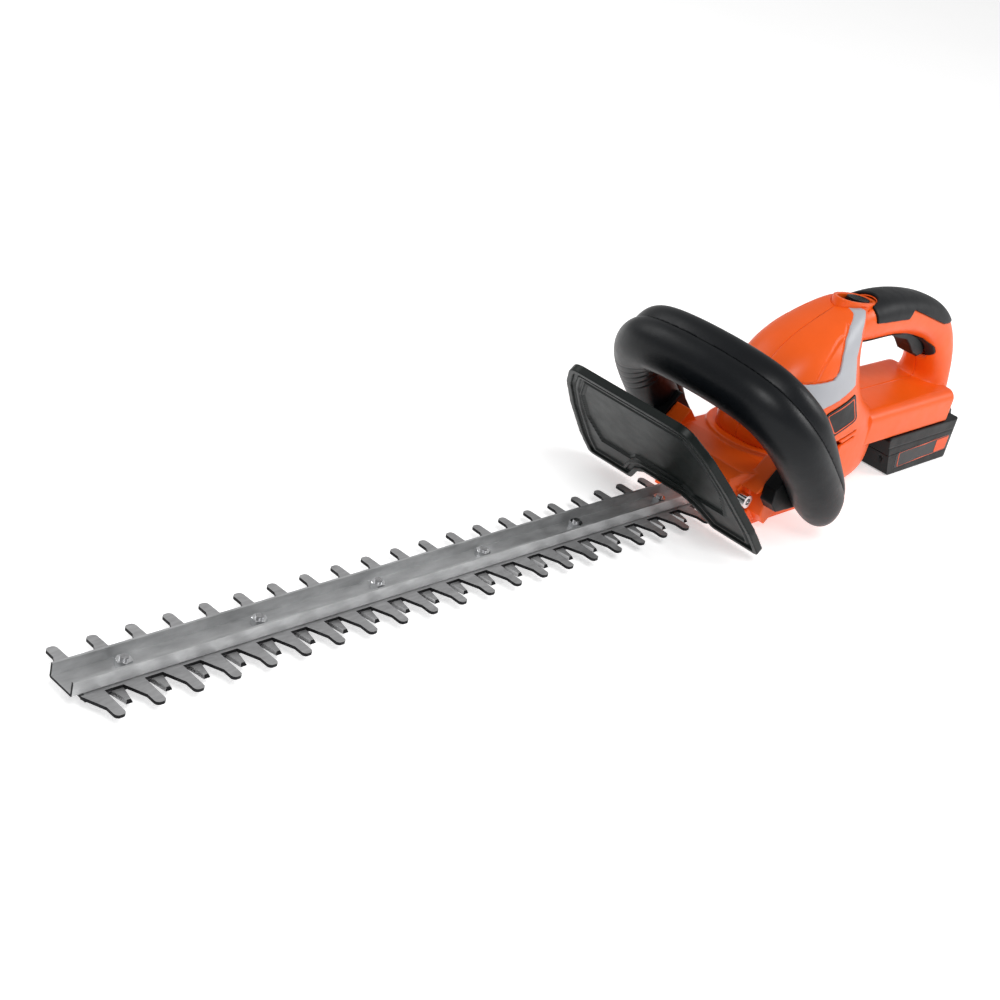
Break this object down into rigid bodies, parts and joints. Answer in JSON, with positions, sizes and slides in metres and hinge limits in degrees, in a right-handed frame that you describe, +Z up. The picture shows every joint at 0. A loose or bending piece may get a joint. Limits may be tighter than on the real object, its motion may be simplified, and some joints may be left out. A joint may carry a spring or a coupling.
{
  "type": "hedge trimmer",
  "caption": "Cordless double-action hedge trimmer with paired reciprocating blades, leaning hand guard, loop front handle, closed rear handle and slide-on battery.",
  "frame": {"origin": "centre of the whole tool in plan, on the plane it rests on", "axes": "+X from the blade tip to the battery end, +Z up, +Y to the tool's right-hand side"},
  "size_m": [0.869, 0.1932, 0.1545],
  "materials": {
    "orange_plastic": "semi-gloss moulded plastic",
    "charcoal_plastic": "satin moulded plastic",
    "black_plastic": "fine matt texture",
    "silver_plastic": "silver painted plastic",
    "soft_rubber": "soft matt rubber",
    "label": "printed label",
    "blade_steel": "ground and rolled steel",
    "bar_steel": "galvanised strip",
    "plated": "bright plating",
    "gear_steel": "machined",
    "motor_steel": "plated sheet",
    "copper": "copper alloy",
    "board": "circuit board",
    "cell": "shrink wrapped cell"
  },
  "bodies": {
    "housing": {"blade_support_bar": "bar_steel", "blade_bolts": "plated", "blade_nuts": "plated", "blade_washers": "plated", "gear_axle": "gear_steel", "motor_can": "motor_steel", "gear_case": "orange_plastic", "gear_case_cover": "orange_plastic", "case_screws": "plated", "front_handle_shell": "charcoal_plastic", "front_handle_back": "charcoal_plastic", "front_switch": "black_plastic", "handle_bracket_right": "black_plastic", "handle_bracket_left": "black_plastic", "guard": "charcoal_plastic", "guard_screws": "plated", "trim_band": "silver_plastic", "soft_grip": "soft_rubber", "handle_liner": "soft_rubber", "side_badge_left": "black_plastic", "side_badge_right": "black_plastic", "casing_left": "orange_plastic", "casing_right": "orange_plastic", "casing_screws": "plated", "lock_off_surround": "orange_plastic", "trigger_pin": "gear_steel", "trigger_switch": "black_plastic", "control_board": "board", "battery_dock": "black_plastic", "contact_blades": "copper"},
    "crank": {"drive_gear": "gear_steel", "cam_upper": "gear_steel", "cam_lower": "gear_steel"},
    "motor_rotor": {"motor_shaft": "gear_steel", "motor_pinion": "gear_steel", "motor_armature": "copper"},
    "upper_blade": {"blade_upper": "blade_steel"},
    "lower_blade": {"blade_lower": "blade_steel"},
    "trigger": {"trigger": "black_plastic"},
    "lock_off": {"lock_off_button": "black_plastic"},
    "switch_bar": {"front_switch_bar": "black_plastic"},
    "battery": {"battery_tub": "black_plastic", "battery_cover": "black_plastic", "battery_label_left": "label", "battery_label_right": "label", "battery_cells": "cell"},
    "latch": {"battery_latch": "black_plastic"}
  },
  "joints": [
    {"name": "crank_turn", "type": "hinge", "parent": "housing", "child": "crank", "pos_m": [0.135, 0, 0.0155], "axis": [0, 0, 1], "range_deg": [-90, 90]},
    {"name": "motor_turn", "type": "hinge", "parent": "housing", "child": "motor_rotor", "pos_m": [0.17, 0, 0.0155], "axis": [0, 0, 1], "range_deg": [-540, 540]},
    {"name": "upper_blade_slide", "type": "slide", "parent": "housing", "child": "upper_blade", "axis": [1, 0, 0], "range_m": [-0.005, 0.005]},
    {"name": "lower_blade_slide", "type": "slide", "parent": "housing", "child": "lower_blade", "axis": [1, 0, 0], "range_m": [-0.005, 0.005]},
    {"name": "trigger_press", "type": "hinge", "parent": "housing", "child": "trigger", "pos_m": [0.308, 0, 0.122], "axis": [0, -1, 0], "range_deg": [0, 8], "stiffness_Nm_per_rad": 0.8, "springref_deg": -5.73},
    {"name": "lock_off_slide", "type": "slide", "parent": "housing", "child": "lock_off", "axis": [-0.9903, 0, 0.1392], "range_m": [0, 0.008], "stiffness_N_per_m": 120, "springref_m": -0.002},
    {"name": "switch_bar_press", "type": "slide", "parent": "housing", "child": "switch_bar", "axis": [-0.7071, 0, 0.7071], "range_m": [0, 0.003], "stiffness_N_per_m": 600, "springref_m": -0.001},
    {"name": "battery_slide", "type": "slide", "parent": "housing", "child": "battery", "axis": [1, 0, 0], "range_m": [0, 0.11]},
    {"name": "latch_press", "type": "slide", "parent": "battery", "child": "latch", "axis": [-1, 0, 0], "range_m": [0, 0.003], "stiffness_N_per_m": 500, "springref_m": -0.001}
  ],
  "couplings": [
    {"joint": "motor_turn", "follows": "crank_turn", "ratio": -6},
    {"joint": "upper_blade_slide", "follows": "crank_turn", "m_per_rad": -0.003183},
    {"joint": "lower_blade_slide", "follows": "crank_turn", "m_per_rad": 0.003183}
  ]
}
